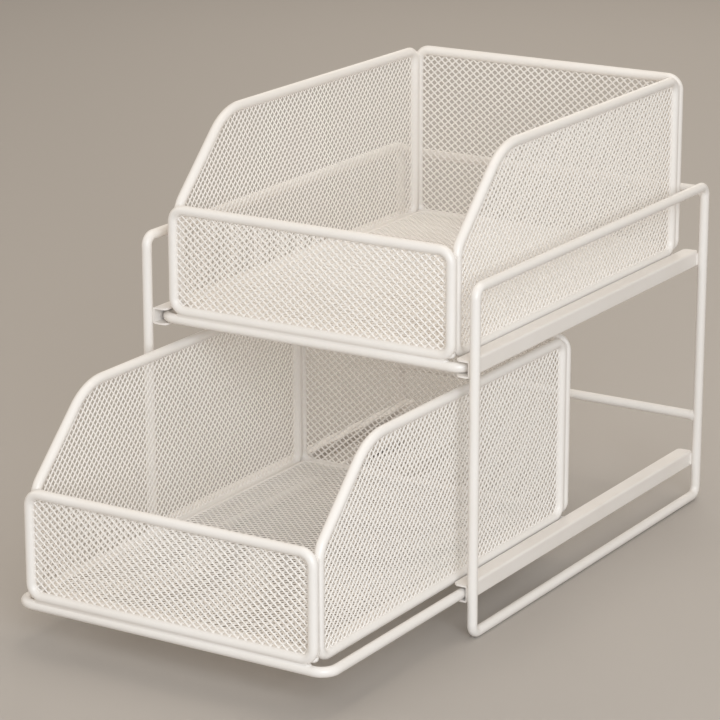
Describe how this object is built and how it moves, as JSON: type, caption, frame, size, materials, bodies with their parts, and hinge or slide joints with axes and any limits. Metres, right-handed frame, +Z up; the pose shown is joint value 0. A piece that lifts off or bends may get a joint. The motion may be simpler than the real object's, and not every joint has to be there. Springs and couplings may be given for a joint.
{
  "type": "pull out cabinet basket",
  "caption": "Two-tier steel rack with open side hoops and sloped mesh baskets that slide forward on channel rails for storing goods.",
  "frame": {"origin": "on the surface that the rack stands on, below the middle of the rack's side hoops", "axes": "+X to the rack's right as seen from the front, +Y to the back, +Z up; the baskets pull out along -Y"},
  "size_m": [0.305, 0.5825, 0.3699],
  "materials": {
    "rack_bar": "semi-gloss powder coat",
    "rail_sheet": "satin powder coat",
    "basket_bar": "semi-gloss powder coat",
    "basket_mesh": "satin powder coat",
    "runner_bar": "semi-gloss powder coat"
  },
  "bodies": {
    "rack": {"left_hoop": "rack_bar", "right_hoop": "rack_bar", "top_crossbar": "rack_bar", "lower_crossbar": "rack_bar", "upper_left_rail": "rail_sheet", "upper_right_rail": "rail_sheet", "lower_left_rail": "rail_sheet", "lower_right_rail": "rail_sheet"},
    "upper_basket": {"upper_front_frame": "basket_bar", "upper_back_frame": "basket_bar", "upper_left_frame": "basket_bar", "upper_right_frame": "basket_bar", "upper_floor_frame": "basket_bar", "upper_front_mesh": "basket_mesh", "upper_back_mesh": "basket_mesh", "upper_left_mesh": "basket_mesh", "upper_right_mesh": "basket_mesh", "upper_floor_mesh": "basket_mesh", "upper_runner": "runner_bar"},
    "lower_basket": {"lower_front_frame": "basket_bar", "lower_back_frame": "basket_bar", "lower_left_frame": "basket_bar", "lower_right_frame": "basket_bar", "lower_floor_frame": "basket_bar", "lower_front_mesh": "basket_mesh", "lower_back_mesh": "basket_mesh", "lower_left_mesh": "basket_mesh", "lower_right_mesh": "basket_mesh", "lower_floor_mesh": "basket_mesh", "lower_runner": "runner_bar"}
  },
  "joints": [
    {"name": "upper_basket_slide", "type": "slide", "parent": "rack", "child": "upper_basket", "axis": [0, -1, 0], "range_m": [0, 0.25]},
    {"name": "lower_basket_slide", "type": "slide", "parent": "rack", "child": "lower_basket", "axis": [0, -1, 0], "range_m": [-0.191, 0.059]}
  ]
}
